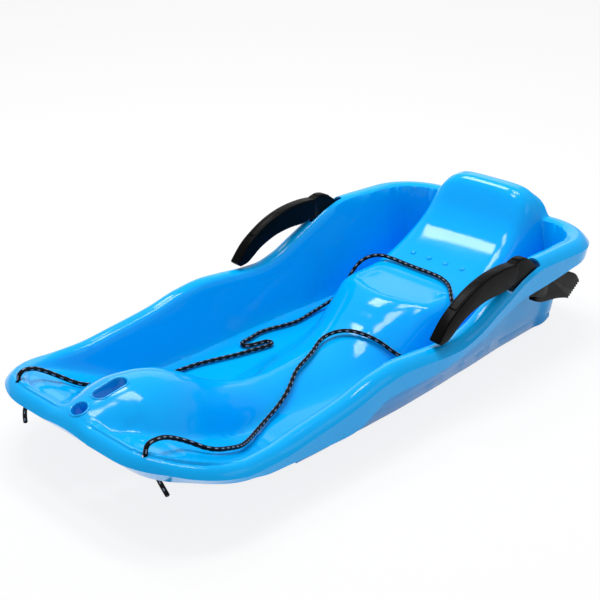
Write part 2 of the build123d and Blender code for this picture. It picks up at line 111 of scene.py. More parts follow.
# the tow rope's route, in metres, from its right tail to its left tail
ROPE_ROUTE = [
    (0.408, -0.158, 0.024), (0.4085, -0.158, 0.042), (0.408, -0.146, 0.060),
    (0.4075, -0.133, 0.076), (0.423, -0.1285, 0.090), (0.431, -0.127, 0.107),
    (0.426, -0.128, 0.119), (0.405, -0.131, 0.115), (0.388, -0.132, 0.104),
    (0.373, -0.120, 0.094), (0.360, -0.102, 0.0855), (0.343, -0.099, 0.077),
    (0.318, -0.108, 0.065), (0.285, -0.121, 0.0495), (0.252, -0.130, 0.0325),
    (0.220, -0.133, 0.021), (0.186, -0.134, 0.017), (0.153, -0.131, 0.0165),
    (0.126, -0.127, 0.0165), (0.098, -0.118, 0.0165), (0.070, -0.108, 0.0165),
    (0.045, -0.102, 0.0165), (0.027, -0.097, 0.0165), (0.003, -0.093, 0.0165),
    (0.001, -0.107, 0.0165), (0.023, -0.112, 0.0165), (0.039, -0.118, 0.0165),
    (0.038, -0.131, 0.0165), (0.017, -0.132, 0.0165), (-0.007, -0.137, 0.0165),
    (-0.029, -0.134, 0.0165), (-0.051, -0.127, 0.0165), (-0.080, -0.121, 0.0165),
    (-0.114, -0.126, 0.017), (-0.143, -0.129, 0.018), (-0.172, -0.124, 0.026),
    (-0.192, -0.119, 0.048), (-0.206, -0.115, 0.072), (-0.222, -0.107, 0.087),
    (-0.238, -0.088, 0.094), (-0.242, -0.056, 0.092), (-0.2405, -0.024, 0.091),
    (-0.240, 0.008, 0.091), (-0.238, 0.036, 0.091), (-0.229, 0.058, 0.090),
    (-0.212, 0.076, 0.090), (-0.194, 0.091, 0.088), (-0.182, 0.106, 0.080),
    (-0.174, 0.117, 0.064), (-0.167, 0.124, 0.042), (-0.154, 0.128, 0.023),
    (-0.130, 0.125, 0.0175), (-0.106, 0.114, 0.0175), (-0.088, 0.100, 0.021),
    (-0.076, 0.080, 0.033), (-0.068, 0.058, 0.047), (-0.061, 0.035, 0.0535),
    (-0.054, 0.013, 0.055), (-0.043, -0.004, 0.052), (-0.026, -0.012, 0.048),
    (-0.005, -0.008, 0.0455), (0.018, 0.004, 0.0445), (0.042, 0.013, 0.0435),
    (0.064, 0.019, 0.0415), (0.082, 0.027, 0.0385), (0.101, 0.038, 0.033), (0.121, 0.047, 0.0275),
    (0.145, 0.055, 0.022), (0.173, 0.063, 0.0185), (0.206, 0.077, 0.020), (0.244, 0.101, 0.032),
    (0.276, 0.121, 0.0465), (0.302, 0.129, 0.059), (0.325, 0.134, 0.0695), (0.342, 0.131, 0.078),
    (0.356, 0.122, 0.088), (0.374, 0.118, 0.100), (0.394, 0.120, 0.112), (0.412, 0.125, 0.119),
    (0.427, 0.127, 0.120), (0.431, 0.127, 0.107), (0.425, 0.1265, 0.089), (0.412, 0.122, 0.069),
    (0.4055, 0.1205, 0.053), (0.401, 0.127, 0.037)]

# side views of the brake: handle from its tip, arm, claw
HANDLE_TOP = [(-14, 115), (-33, 136), (-52, 150), (-80, 164.5), (-108, 173.5),
              (-137, 178), (-168, 178.5), (-192, 176)]
HANDLE_UNDER = [(-192, 148), (-165, 142), (-135, 142.5), (-112, 141), (-91, 137),
                (-66, 128), (-48, 117), (-36, 110.5), (-22, 108.5)]
ARM = [(-176, 168), (-196, 179), (-217, 177), (-236, 165), (-247, 152), (-262, 139),
       (-280, 131), (-280, 100), (-250, 106), (-222, 117), (-206, 125), (-196, 130),
       (-186, 148)]
CLAW_BACK = [(-349, 70), (-330, 76), (-312, 80.5), (-277, 86.5), (-258, 94)]
CLAW_FRONT = [(-258, 139), (-330, 120), (-356, 111), (-370, 103), (-380, 91)]


# ---- sizes and colours a user may change
class SledHullSettings(bpy.types.PropertyGroup):
    wall: bpy.props.FloatProperty(
        name="Wall", description="Thickness of the moulded wall", default=0.0025,
        min=0.001, max=0.005, unit="LENGTH")
    step: bpy.props.FloatProperty(
        name="Mesh step", description="Spacing of the hull's mesh along its length",
        default=0.0045, min=0.003, max=0.02, unit="LENGTH")
    nub: bpy.props.FloatProperty(
        name="Nub radius", description="Radius of the nubs low on the backrest",
        default=0.0048, min=0.002, max=0.008, unit="LENGTH")
    colour: bpy.props.FloatVectorProperty(
        name="Hull colour", description="Colour of the moulded plastic, as written in sRGB",
        default=(0.0, 0.69, 1.0), min=0.0, max=1.0, size=3, subtype="COLOR_GAMMA")


class SledRopeSettings(bpy.types.PropertyGroup):
    diameter: bpy.props.FloatProperty(
        name="Rope", description="Diameter of the tow rope", default=0.006,
        min=0.004, max=0.01, unit="LENGTH")
    pitch: bpy.props.FloatProperty(
        name="Tracer pitch", description="Distance between the rope's pale flecks",
        default=0.012, min=0.005, max=0.03, unit="LENGTH")
    colour: bpy.props.FloatVectorProperty(
        name="Rope colour", description="Colour of the braid, as written in sRGB",
        default=(0.035, 0.04, 0.055), min=0.0, max=1.0, size=3, subtype="COLOR_GAMMA")


class SledBrakeSettings(bpy.types.PropertyGroup):
    handle_width: bpy.props.FloatProperty(
        name="Handle width", description="Width of the brake's handle", default=0.0185,
        min=0.015, max=0.03, unit="LENGTH")
    claw_width: bpy.props.FloatProperty(
        name="Claw width", description="Width of the brake's toothed claw",
        default=0.012, min=0.008, max=0.016, unit="LENGTH")
    teeth: bpy.props.IntProperty(
        name="Teeth", description="Number of teeth on the claw", default=8, min=4, max=14)
    colour: bpy.props.FloatVectorProperty(
        name="Brake colour", description="Colour of the brakes, as written in sRGB",
        default=(0.015, 0.015, 0.02), min=0.0, max=1.0, size=3, subtype="COLOR_GAMMA")


# ---- materials
def linear(colour):
    """An sRGB colour, as hex text or three numbers, turned to linear RGBA."""
    if isinstance(colour, str):
        colour = [int(colour[k:k + 2], 16) / 255 for k in (1, 3, 5)]
    values = [c / 12.92 if c <= 0.04045 else ((c + 0.055) / 1.055) ** 2.4 for c in colour]
    return (*values, 1.0)


def add_node(tree, kind, settings=None, **links):
    """Adds a node with its settings; a link is a socket, and anything else a value."""
    node = tree.nodes.new(kind)
    for name, value in (settings or {}).items():
        setattr(node, name, value)
    for name, value in links.items():
        name = name.replace("_", " ")
        key = int(name[4:]) if name.startswith("slot") else name
        socket = node.inputs[key]
        if isinstance(value, bpy.types.NodeSocket):
            tree.links.new(value, socket)
        else:
            socket.default_value = value
    return node


def new_material(name):
    """An empty material with its node tree and its output."""
    material = bpy.data.materials.new(name)
    material.use_nodes = True
    tree = material.node_tree
    tree.nodes.clear()
    return material, tree


def close_material(tree, shader):
    add_node(tree, "ShaderNodeOutputMaterial", Surface=shader.outputs[0])


def polyethylene(colour):
    """Injection moulded HDPE: glossy and waxy, with a faint flow ripple in tone and roughness and
    a fine orange peel.
    """
    material, tree = new_material("moulded_hdpe_gloss_blue")
    place = add_node(tree, "ShaderNodeTexCoord")
    # a slow ripple of the moulding, about 90 mm long
    ripple = add_node(tree, "ShaderNodeTexNoise", Vector=place.outputs["Object"],
                      Scale=11.0, Detail=2.0, Roughness=0.5)
    # orange peel of about 3 mm, as coarse as it needs to show
    peel = add_node(tree, "ShaderNodeTexNoise", Vector=place.outputs["Object"],
                    Scale=330.0, Detail=1.0)
    low = add_node(tree, "ShaderNodeBump", Strength=0.10, Distance=0.0012,
                   Height=ripple.outputs["Fac"])
    fine = add_node(tree, "ShaderNodeBump", Strength=0.05, Distance=0.0002,
                    Height=peel.outputs["Fac"], Normal=low.outputs["Normal"])
    wear = add_node(tree, "ShaderNodeMapRange", Value=ripple.outputs["Fac"],
                    slot1=0.3, slot2=0.7, slot3=0.08, slot4=0.13)
    base = np.array(colour)
    tint = add_node(tree, "ShaderNodeMix", {"data_type": "RGBA"},
                    Factor=ripple.outputs["Fac"], A=linear(base * 0.985),
                    B=linear(np.minimum(base * 1.015, 1.0)))
    # a waxy skin, less mirror-like than its index says
    shader = add_node(tree, "ShaderNodeBsdfPrincipled", Base_Color=tint.outputs["Result"],
                      Roughness=wear.outputs["Result"], Normal=fine.outputs["Normal"],
                      IOR=1.52, Specular_IOR_Level=0.22)
    close_material(tree, shader)
    return material


def polypropylene(colour):
    """Moulded black polypropylene: satin, with a fine spark-eroded grain."""
    material, tree = new_material("moulded_pp_satin_black")
    place = add_node(tree, "ShaderNodeTexCoord")
    # eroded grain of about 0.8 mm, coarser than real so that it shows
    grain = add_node(tree, "ShaderNodeTexNoise", Vector=place.outputs["Object"],
                     Scale=1250.0, Detail=2.0)
    cloud = add_node(tree, "ShaderNodeTexNoise", Vector=place.outputs["Object"],
                     Scale=60.0, Detail=3.0)
    bump = add_node(tree, "ShaderNodeBump", Strength=0.25, Distance=0.0003,
                    Height=grain.outputs["Fac"])
    rough = add_node(tree, "ShaderNodeMapRange", Value=cloud.outputs["Fac"],
                     slot1=0.3, slot2=0.7, slot3=0.30, slot4=0.42)
    shader = add_node(tree, "ShaderNodeBsdfPrincipled", Roughness=rough.outputs["Result"],
                      Normal=bump.outputs["Normal"], Base_Color=linear(colour), IOR=1.49,
                      Specular_IOR_Level=0.07)
    close_material(tree, shader)
    return material


def braid(colour, pitch):
    """Braided polypropylene cord: black strands with pale tracer flecks on four sides."""
    material, tree = new_material("braided_pp_rope_black")
    uv = add_node(tree, "ShaderNodeUVMap", {"uv_map": "rope"})
    parts = add_node(tree, "ShaderNodeSeparateXYZ", Vector=uv.outputs["UV"])

    def maths(operation, a, b=0.0):
        return add_node(tree, "ShaderNodeMath", {"operation": operation}, slot0=a,
                        slot1=b).outputs[0]

    along, around = parts.outputs["X"], parts.outputs["Y"]
    # strands cross at about 2.4 mm
    first = maths("SINE", maths("MULTIPLY", maths("ADD", maths(
        "DIVIDE", along, 0.0048), maths("MULTIPLY", around, 3.0)), 2 * math.pi))
    second = maths("SINE", maths("MULTIPLY", maths("SUBTRACT", maths(
        "DIVIDE", along, 0.0048), maths("MULTIPLY", around, 3.0)), 2 * math.pi))
    weave = maths("MULTIPLY", first, second)
    bump = add_node(tree, "ShaderNodeBump", Strength=0.6, Distance=0.0006, Height=weave)
    # a tracer strand surfaces once per pitch, on four sides around the rope
    place = maths("FRACT", maths("DIVIDE", along, pitch))
    near = maths("LESS_THAN", maths("ABSOLUTE", maths("SUBTRACT", place, 0.5)), 0.21)
    side = maths("FRACT", maths("MULTIPLY", around, 4.0))
    strand = maths("LESS_THAN", maths("ABSOLUTE", maths("SUBTRACT", side, 0.5)), 0.16)
    fleck = maths("MULTIPLY", near, strand)
    tint = add_node(tree, "ShaderNodeMix", {"data_type": "RGBA"}, Factor=fleck,
                    A=linear(colour), B=linear("#8C97AB"))
    shader = add_node(tree, "ShaderNodeBsdfPrincipled", Base_Color=tint.outputs["Result"],
                      Normal=bump.outputs["Normal"], Roughness=0.62,
                      Specular_IOR_Level=0.12, Sheen_Weight=0.04)
    close_material(tree, shader)
    return material


def pin_steel():
    """Drawn steel pin: bright, with fine lengthwise draw lines."""
    material, tree = new_material("drawn_steel_pin")
    place = add_node(tree, "ShaderNodeTexCoord")
    stretch = add_node(tree, "ShaderNodeMapping", Vector=place.outputs["Object"],
                       Scale=(1.0, 0.05, 1.0))
    lines = add_node(tree, "ShaderNodeTexNoise", Vector=stretch.outputs["Vector"],
                     Scale=2500.0, Detail=2.0)
    rough = add_node(tree, "ShaderNodeMapRange", Value=lines.outputs["Fac"],
                     slot1=0.2, slot2=0.8, slot3=0.25, slot4=0.42)
    shader = add_node(tree, "ShaderNodeBsdfPrincipled", Roughness=rough.outputs["Result"],
                      Base_Color=linear("#B8BABD"), Metallic=1.0)
    close_material(tree, shader)
    return material


# ---- the hull's height formulas
def table_slopes(xs, ys):
    steps = (ys[1:] - ys[:-1]) / (xs[1:] - xs[:-1])
    slopes = np.zeros(len(xs))
    slopes[0], slopes[-1] = steps[0], steps[-1]
    before, after = steps[:-1], steps[1:]
    same = before * after > 0
    total = np.where(same, before + after, 1.0)
    slopes[1:-1] = np.where(same, 2 * before * after / total, 0.0)
    return slopes


def smooth_table(rows, x, column=1):
    """Monotone cubic through the rows of a table, read at many places."""
    rows = np.array(rows, float)
    xs, ys = rows[:, 0], rows[:, column]
    slopes = table_slopes(xs, ys)
    x = np.clip(x, xs[0], xs[-1])
    i = np.clip(np.searchsorted(xs, x, side="right") - 1, 0, len(xs) - 2)
    step = xs[i + 1] - xs[i]
    t = (x - xs[i]) / step
    return (ys[i] * (1 + 2 * t) * (1 - t) ** 2 + slopes[i] * step * t * (1 - t) ** 2
            + ys[i + 1] * t * t * (3 - 2 * t) + slopes[i + 1] * step * t * t * (t - 1))


def smooth_max(a, b, blend):
    h = np.maximum(blend - np.abs(a - b), 0.0) / blend
    return np.maximum(a, b) + h * h * blend / 4


def smooth_step(value, start, end):
    t = np.clip((value - start) / (end - start), 0.0, 1.0)
    return t * t * (3 - 2 * t)


def inset(x, y):
    """Distance inside the sled's outline in plan."""
    radius = np.where(x > 0, NOSE_CORNER_R, TAIL_CORNER_R)
    over_x = np.abs(x) - NOSE_X + radius
    over_y = np.abs(y) - HALF_WIDTH + radius
    outside = np.hypot(np.maximum(over_x, 0), np.maximum(over_y, 0))
    return radius - outside - np.minimum(np.maximum(over_x, over_y), 0)


def spine_height(x, y):
    """Nose hump, ridge, seat and backrest above the plan points."""
    s = np.abs(y) / smooth_table(SPINE, x, 1)
    near = np.maximum(0.0, 1 - s * s)
    bow = np.maximum(0.0, 1 - (y / LIP_REACH) ** 2) ** 1.2
    fade = np.minimum(1.0, (x + 215) / 60) * np.minimum(1.0, -x / 90)
    wrap = FACE_WRAP * np.minimum(s, 1.0) ** 6 * np.clip((-215 - x) / 110, 0.0, 1.0)
    reach = np.where(x < -215, x + BACK_DISH * near + wrap,
                     np.where(x < 0, x - LIP_BOW * bow * fade, x))
    crest = smooth_table(SPINE, reach, 2)
    square = smooth_table(SPINE, x, 3)
    base = np.minimum(smooth_table(RAMP, x), crest - 5.0)
    return np.where(s >= 1.25, -50.0, base + (crest - base) * (1 - np.minimum(s, 1.25)
                                                              ** square))


def seat_pan(x, y):
    """The shallow recess of the seat pan, with its bowed front lip."""
    lip = -138.0 - 20.0 * (y / LIP_REACH) ** 2
    inside = smooth_step(lip - x, 0.0, 4.0) * smooth_step(x, -226.0, -206.0)
    inside = inside * smooth_step(76.0 - np.abs(y), 0.0, 10.0)
    return -2.5 * inside


def deck_panel(x, y):
    """The shallow recessed panels behind the front bar."""
    across = np.abs(y)
    inside = smooth_step(x, 372.0, 380.0) * smooth_step(417.0 - x, 0.0, 3.0)
    inside = inside * smooth_step(across, 50.0, 56.0) * smooth_step(150.0 - across, 0.0, 30.0)
    return -1.6 * inside


def top_height(x, y):
    """The hull's upper surface over the plan points."""
    depth = np.maximum(inset(x, y), -4.0)
    rim = smooth_table(RIM, x)
    width = smooth_table(RIM_WIDTH, x)
    across = (depth - width * 0.55) / (width * 0.55)
    arch = rim - RIM_ROLL * across ** 2 * np.where(across < 0, 1.0, 0.45)
    side = rim - RIM_SET - (depth - width) * smooth_table(WALL_SLOPE, x)
    rim_side = -smooth_max(-arch, -side, 8.0)
    ramp = np.minimum(smooth_table(RAMP, x), rim - 3.0)
    tub = smooth_max(ramp, rim_side, WALL_BLEND)
    edge = np.where(x < 300, rim_side, np.maximum(rim_side, arch))
    tub = np.where(depth < width * 0.6, edge, tub)
    return (smooth_max(tub, spine_height(x, y), CENTRE_BLEND)
            + seat_pan(x, y) + deck_panel(x, y))


# ---- mesh helpers
def mesh_object(name, vertices, faces, material=None):
    """A new object at the origin from plain lists, smooth shaded."""
    mesh = bpy.data.meshes.new(name)
    mesh.from_pydata([tuple(v) for v in vertices], [], faces)
    mesh.update()
    piece = bpy.data.objects.new(name, mesh)
    bpy.context.scene.collection.objects.link(piece)
    if material:
        mesh.materials.append(material)
    mesh.shade_smooth()
    return piece


def apply_modifiers(piece):
    """Bakes the piece's modifiers into a plain mesh."""
    graph = bpy.context.evaluated_depsgraph_get()
    baked = bpy.data.meshes.new_from_object(piece.evaluated_get(graph))
    old = piece.data
    piece.modifiers.clear()
    piece.data = baked
    bpy.data.meshes.remove(old)
    baked.name = piece.name


def soften(piece, angle=32.0):
    """Smooth shading with crisp edges where faces meet at a sharp angle."""
    piece.data.shade_smooth()
    piece.data.set_sharp_from_angle(angle=math.radians(angle))


def weld(piece, distance=1e-5):
    """Merges doubled vertices and turns the faces outwards."""
    work = bmesh.new()
    work.from_mesh(piece.data)
    bmesh.ops.remove_doubles(work, verts=work.verts, dist=distance)
    bmesh.ops.recalc_face_normals(work, faces=work.faces)
    work.to_mesh(piece.data)
    work.free()


def combine(piece, cutter, operation):
    """Joins or cuts two closed shells, and deletes the second."""
    change = piece.modifiers.new("join", "BOOLEAN")
    change.operation = operation
    change.solver = "MANIFOLD"
    change.object = cutter
    apply_modifiers(piece)
    bpy.data.objects.remove(cutter)


def outline_rows(step):
    """Places along the sled: position, half width and outward normal, in millimetres."""
    rows = []
    corner = max(10, round(math.pi / 2 * NOSE_CORNER_R / step))
    turns = [math.pi / 2 * k / corner for k in range(corner + 1)]
    for turn in turns:
        rows.append((TAIL_X + TAIL_CORNER_R * (1 - math.cos(turn)),
                     HALF_WIDTH - TAIL_CORNER_R * (1 - math.sin(turn)),
                     -math.cos(turn), math.sin(turn)))
    start, end = TAIL_X + TAIL_CORNER_R, NOSE_X - NOSE_CORNER_R
    count = round((end - start) / step)
    for k in range(1, count):
        rows.append((start + (end - start) * k / count, HALF_WIDTH, 0.0, 1.0))
    for turn in reversed(turns):
        rows.append((NOSE_X - NOSE_CORNER_R * (1 - math.cos(turn)),
                     HALF_WIDTH - NOSE_CORNER_R * (1 - math.sin(turn)),
                     math.cos(turn), math.sin(turn)))
    return np.array(rows)


def grid_faces(start, rows, columns, flip=False):
    """Quads of a grid of vertices stored row by row."""
    faces = []
    for i in range(rows - 1):
        for j in range(columns - 1):
            a = start + i * columns + j
            quad = (a, a + columns, a + columns + 1, a + 1)
            faces.append(quad[::-1] if flip else quad)
    return faces


def hull_sheet(step):
    """The hull's outer skin: top surface, side skirts and end skirts, in metres."""
    spans = [(0, 90, 4.5), (90, 128, 2.6), (128, 152, 4), (152, 188, 2.8), (188, HALF_WIDTH, 1.8)]
    places = []
    for start, end, size in spans:
        count = round((end - start) / size)
        places += [start + (end - start) * k / count for k in range(count)]
    places = np.array(places + [HALF_WIDTH]) / HALF_WIDTH
    places = np.concatenate([-places[:0:-1], places])
    rows = outline_rows(step)
    x = np.repeat(rows[:, :1], len(places), axis=1)
    y = rows[:, 1:2] * places[None, :]
    z = top_height(x, y)
    vertices, faces = [], []

    def add_grid(points, flip=False):
        """Adds a grid of points, row by row, and its quads."""
        faces.extend(grid_faces(sum(map(len, vertices)), *points.shape[:2], flip))
        vertices.append(points.reshape(-1, 3))

    add_grid(np.stack([x, y, z], axis=-1))
    levels = np.linspace(0.0, 1.0, 9)[:, None, None]
    foot_z = smooth_table(SKIRT, rows[:, 0])
    back = SIDE_LEAN + (NOSE_LEAN - SIDE_LEAN) * smooth_step(rows[:, 2], 0.0, LEAN_START)
    feet = {}
    for side, column in ((-1, 0), (1, -1)):
        top = np.stack([x[:, column], y[:, column], z[:, column]], axis=-1)
        foot = np.stack([rows[:, 0] - rows[:, 2] * back,
                         side * (rows[:, 1] - rows[:, 3] * back), foot_z], axis=-1)
        feet[side] = foot
        add_grid(top + (foot - top) * levels, flip=side > 0)
    for row in (0, -1):
        top = np.stack([x[row], y[row], z[row]], axis=-1)
        share = ((places + 1) / 2)[:, None]
        foot = feet[-1][row] + (feet[1][row] - feet[-1][row]) * share
        add_grid(top + (foot - top) * levels, flip=row == 0)
    return np.concatenate(vertices) / 1000, faces


def wall_foot(x, z, wall):
    """Half the width over the tub's outer faces at one height, in millimetres."""
    fall = smooth_table(RIM, x) - RIM_SET - z
    depth = smooth_table(RIM_WIDTH, x) + fall / smooth_table(WALL_SLOPE, x)
    radius = TAIL_CORNER_R - depth + wall
    past = np.maximum(TAIL_X + TAIL_CORNER_R - x, 0.0)
    return HALF_WIDTH - TAIL_CORNER_R + np.sqrt(radius ** 2 - past ** 2)


def runner_strip(name, side, wall):
    """A moulded runner, flush under the foot of the tub's wall and rounded below."""
    x = np.linspace(RUNNER[0][0], RUNNER[-1][0], 150)
    low = smooth_table(RUNNER, x)
    foot = wall_foot(x, low, wall)
    root = FLOOR_Z + RUNNER_ROOT
    # its rounded lower side: distance inwards, rise
    lower = ((0.0, 1.5), (0.9, 0.45), (2.4, 0.0), (RUNNER_WIDTH - 2.4, 0.0),
             (RUNNER_WIDTH - 0.9, 0.45), (RUNNER_WIDTH, 1.5))
    rings = [np.stack([x, side * (foot - inward), low + rise], axis=-1)
             for inward, rise in lower]
    inner = np.full(len(x), FLOOR_Z - wall * 0.4)
    rings.append(np.stack([x, side * (foot - RUNNER_WIDTH), inner], axis=-1))
    outer = wall_foot(x, root, wall) - wall / 2
    rings.append(np.stack([x, side * outer, np.full(len(x), root)], axis=-1))
    places = np.stack(rings, axis=1).reshape(-1, 3) / 1000
    count = len(rings)
    faces = [tuple(range(count)), tuple(range(len(places) - count, len(places)))]
    for k in range(len(x) - 1):
        for j in range(count):
            after = (j + 1) % count
            faces.append((k * count + j, k * count + after, (k + 1) * count + after,
                          (k + 1) * count + j))
    strip = mesh_object(name, places, faces)
    weld(strip)
    return strip


def tilted(x):
    """A place on the crest of the nose hump, turned to stand square to it."""
    slope = (height_at(x + 0.002, 0.0) - height_at(x - 0.002, 0.0)) / 0.004
    place = Matrix.Translation((x, 0.0, height_at(x, 0.0)))
    return place @ Matrix.Rotation(-math.atan(slope), 4, "Y")


def standing(piece, place):
    """Moves a piece's own points, so that the piece itself stays unturned."""
    piece.data.transform(place)
    return piece


def shell_between(name, low, high):
    """A closed shell between two matching rings of points, in metres."""
    count = len(low)
    faces = [tuple(reversed(range(count))), tuple(range(count, 2 * count))]
    for k in range(count):
        after = (k + 1) % count
        faces.append((k, after, count + after, count + k))
    piece = mesh_object(name, low + high, faces)
    weld(piece)
    return piece


def prism(name, outline, low, high):
    """A closed upright prism over a plan outline, in metres."""
    return shell_between(name, *[[(x, y, z) for x, y in outline] for z in (low, high)])


def slot_outline(x, y, length, width, radius):
    """A rounded slot in plan, its long side along the sled, in metres."""
    points = []
    for k in range(4):
        corner_x = (length / 2 - radius) * (1 if k in (0, 3) else -1)
        corner_y = (width / 2 - radius) * (1 if k in (0, 1) else -1)
        for step in range(9):
            turn = math.pi / 2 * (k + step / 8)
            points.append((x + corner_x + radius * math.cos(turn),
                           y + corner_y + radius * math.sin(turn)))
    return [p for k, p in enumerate(points) if math.dist(p, points[k - 1]) > 0.0002]


def sweep_ring(name, centres, radius, material, sides=8):
    """A closed round bead that follows a ring of points."""
    centres = np.array(centres)
    count = len(centres)
    along = np.roll(centres, -1, axis=0) - np.roll(centres, 1, axis=0)
    along /= np.linalg.norm(along, axis=1)[:, None]
    out = np.cross(along, np.array([0.0, 0.0, 1.0]))
    out /= np.linalg.norm(out, axis=1)[:, None]
    up = np.cross(out, along)
    turns = np.arange(sides) / sides * 2 * math.pi
    vertices = (centres[:, None] + radius * (np.cos(turns)[None, :, None] * out[:, None]
                                             + np.sin(turns)[None, :, None] * up[:, None]))
    faces = []
    for k in range(count):
        for j in range(sides):
            a, b = k * sides + j, ((k + 1) % count) * sides + j
            c, d = ((k + 1) % count) * sides + (j + 1) % sides, k * sides + (j + 1) % sides
            faces.append((a, b, c, d))
    piece = mesh_object(name, vertices.reshape(-1, 3), faces, material)
    weld(piece)
    return piece


def height_at(x, y):
    """The top surface over one plan point, in metres."""
    return float(top_height(np.array([x * 1000]), np.array([y * 1000]))[0]) / 1000


# ---- pieces
class SLED_OT_studio(bpy.types.Operator):
    """Makes the camera, the pale floor and the soft studio light"""
    bl_idname = "sled.studio"
    bl_label = "Studio"

    def execute(self, context):
        scene = context.scene
        azimuth, elevation = math.radians(AZIMUTH), math.radians(ELEVATION)
        back = Vector((math.sin(azimuth) * math.cos(elevation),
                       -math.cos(azimuth) * math.cos(elevation), math.sin(elevation)))
        camera = bpy.data.objects.new("camera", bpy.data.cameras.new("camera"))
        scene.collection.objects.link(camera)
        camera.location = CAMERA_PLACE
        camera.rotation_euler = (-back).to_track_quat("-Z", "Y").to_euler()
        camera.data.lens = LENS
        camera.data.sensor_width = 36.0
        camera.data.clip_start, camera.data.clip_end = 0.05, 60.0
        scene.camera = camera
        scene.view_settings.view_transform = "Standard"

        # soft boxes: name, place, width, height, brightness of the lit face
        lamps = (("far_overhead", (-0.4, -1.2, 2.1), 0.5, 0.45, 18.0),
                 ("nose_overhead", (-0.5, -0.2, 2.25), 0.95, 0.42, 15.0),
                 ("seat_overhead", (0.32, -0.45, 2.25), 0.36, 0.75, 16.0),
                 ("side", (-1.2, 2.6, 2.0), 1.6, 0.7, 1.0),
                 ("back", (-2.3, -2.2, 1.35), 3.0, 1.2, 0.7))
        for name, place, width, height, brightness in lamps:
            data = bpy.data.lights.new(name, "AREA")
            data.shape, data.size, data.size_y = "RECTANGLE", width, height
            data.energy = brightness * math.pi * width * height
            lamp = bpy.data.objects.new(name, data)
            scene.collection.objects.link(lamp)
            lamp.location = place
            aim = Vector((0.0, 0.0, 0.08)) - Vector(place)
            lamp.rotation_euler = aim.to_track_quat("-Z", "Y").to_euler()

        world = bpy.data.worlds.new("studio_world")
        scene.world = world
        world.use_nodes = True
        tree = world.node_tree
        tree.nodes.clear()
        soft = add_node(tree, "ShaderNodeBackground", Color=(1, 1, 1, 1), Strength=0.42)
        add_node(tree, "ShaderNodeOutputWorld", Surface=soft.outputs[0])

        material, tree = new_material("matt_white_floor")
        ray = add_node(tree, "ShaderNodeLightPath")
        paint = add_node(tree, "ShaderNodeBsdfDiffuse", Color=linear("#F4F4F4"))
        glow = add_node(tree, "ShaderNodeEmission", Color=(1, 1, 1, 1), Strength=1.0)
        seen = add_node(tree, "ShaderNodeMath", {"operation": "ADD"},
                        slot0=ray.outputs["Is Camera Ray"], slot1=ray.outputs["Is Glossy Ray"])
        seen = add_node(tree, "ShaderNodeMath", {"operation": "ADD", "use_clamp": True},
                        slot0=seen.outputs[0], slot1=ray.outputs["Is Transmission Ray"])
        share = add_node(tree, "ShaderNodeMath", {"operation": "MULTIPLY"},
                         slot0=seen.outputs[0], slot1=0.85)
        both = add_node(tree, "ShaderNodeMixShader", slot0=share.outputs[0],
                        slot1=paint.outputs[0], slot2=glow.outputs[0])
        close_material(tree, both)
        size = 12.0
        floor = mesh_object("floor", [(-size, -size, -0.0005), (size, -size, -0.0005),
                                      (size, size, -0.0005), (-size, size, -0.0005)],
                            [(0, 1, 2, 3)], material)
        return {"FINISHED"}


def rope_line(route, fineness=20):
    """The rope's centreline: points read from its smooth spline, with its own straight ends."""
    curve = bpy.data.curves.new("rope_line", "CURVE")
    curve.dimensions = "3D"
    spline = curve.splines.new("NURBS")
    spline.points.add(len(route) - 1)
    for point, place in zip(spline.points, route):
        point.co = (*place, 1.0)
    spline.order_u = 3
    spline.use_endpoint_u = True
    spline.resolution_u = fineness
    curve.resolution_u = fineness
    guide = bpy.data.objects.new("rope_line", curve)
    bpy.context.scene.collection.objects.link(guide)
    graph = bpy.context.evaluated_depsgraph_get()
    mesh = bpy.data.meshes.new_from_object(guide.evaluated_get(graph))
    points = np.array([v.co for v in mesh.vertices])
    bpy.data.objects.remove(guide)
    bpy.data.curves.remove(curve)
    bpy.data.meshes.remove(mesh)
    spaced = [points[0]]
    for point in points[1:-1]:
        if np.linalg.norm(point - spaced[-1]) > 0.0007:
            spaced.append(point)
    return np.array(spaced + [points[-1]])


